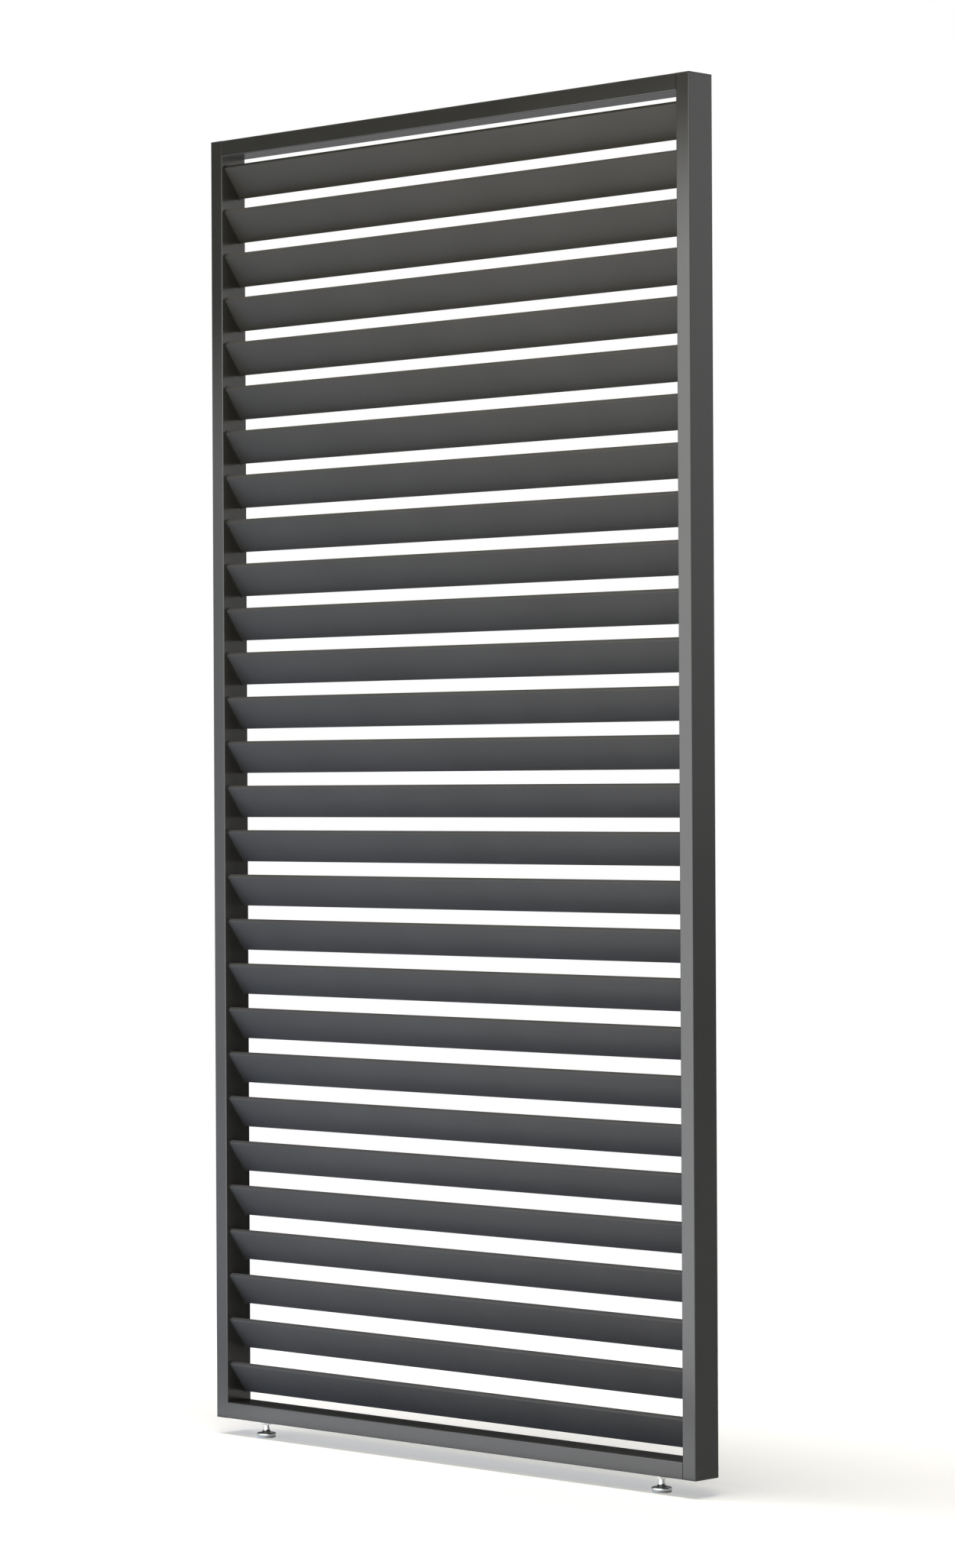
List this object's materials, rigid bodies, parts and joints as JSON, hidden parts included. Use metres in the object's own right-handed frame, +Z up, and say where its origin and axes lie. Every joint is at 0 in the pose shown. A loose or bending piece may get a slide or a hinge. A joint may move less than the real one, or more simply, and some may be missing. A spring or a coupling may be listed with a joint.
{
  "type": "louvred privacy screen",
  "caption": "Upright louvred privacy screen: a frame of rectangular tubes filled with fixed flat slats that lean forward, standing on chromed screw feet.",
  "frame": {"origin": "on the floor, under the middle of the frame", "axes": "+Z up along the stiles, -Y to the front, which the slats' upper edges lean towards, +X to the right"},
  "size_m": [1, 0.05, 2.026],
  "materials": {
    "frame_coat": "satin",
    "slat_coat": "satin",
    "cap_plastic": "matte",
    "sleeve_plastic": "matte",
    "plug_metal": "satin",
    "plated_steel": "satin",
    "foot_chrome": "polished",
    "glide_plastic": "matte"
  },
  "bodies": {
    "frame": {"bottom_rail": "frame_coat", "top_rail": "frame_coat", "left_stile": "frame_coat", "right_stile": "frame_coat", "slat_01": "slat_coat", "slat_02": "slat_coat", "slat_03": "slat_coat", "slat_04": "slat_coat", "slat_05": "slat_coat", "slat_06": "slat_coat", "slat_07": "slat_coat", "slat_08": "slat_coat", "slat_09": "slat_coat", "slat_10": "slat_coat", "slat_11": "slat_coat", "slat_12": "slat_coat", "slat_13": "slat_coat", "slat_14": "slat_coat", "slat_15": "slat_coat", "slat_16": "slat_coat", "slat_17": "slat_coat", "slat_18": "slat_coat", "slat_19": "slat_coat", "slat_20": "slat_coat", "slat_21": "slat_coat", "slat_22": "slat_coat", "slat_23": "slat_coat", "slat_24": "slat_coat", "slat_25": "slat_coat", "slat_26": "slat_coat", "slat_27": "slat_coat", "slat_28": "slat_coat", "left_slat_sleeves": "sleeve_plastic", "right_slat_sleeves": "sleeve_plastic", "left_bottom_cap": "cap_plastic", "left_top_cap": "cap_plastic", "right_bottom_cap": "cap_plastic", "right_top_cap": "cap_plastic", "left_bottom_rail_plug": "plug_metal", "left_top_rail_plug": "plug_metal", "right_bottom_rail_plug": "plug_metal", "right_top_rail_plug": "plug_metal", "corner_screws": "plated_steel", "left_foot_insert": "plated_steel", "right_foot_insert": "plated_steel"},
    "left_glide": {"left_foot_glide": "glide_plastic"},
    "left_foot": {"left_foot_base": "foot_chrome", "left_foot_stud": "plated_steel"},
    "right_glide": {"right_foot_glide": "glide_plastic"},
    "right_foot": {"right_foot_base": "foot_chrome", "right_foot_stud": "plated_steel"}
  },
  "joints": [
    {"name": "left_foot_level", "type": "slide", "parent": "frame", "child": "left_glide", "axis": [0, 0, -1], "range_m": [-0.002, 0.01]},
    {"name": "left_foot_turn", "type": "hinge", "parent": "left_glide", "child": "left_foot", "pos_m": [-0.413, 0, 0], "axis": [0, 0, -1], "range_deg": [-576, 2880]},
    {"name": "right_foot_level", "type": "slide", "parent": "frame", "child": "right_glide", "axis": [0, 0, -1], "range_m": [-0.002, 0.01]},
    {"name": "right_foot_turn", "type": "hinge", "parent": "right_glide", "child": "right_foot", "pos_m": [0.413, 0, 0], "axis": [0, 0, -1], "range_deg": [-576, 2880]}
  ],
  "couplings": [
    {"joint": "left_foot_turn", "follows": "left_foot_level", "rad_per_m": 5026.5},
    {"joint": "right_foot_turn", "follows": "right_foot_level", "rad_per_m": 5026.5}
  ]
}
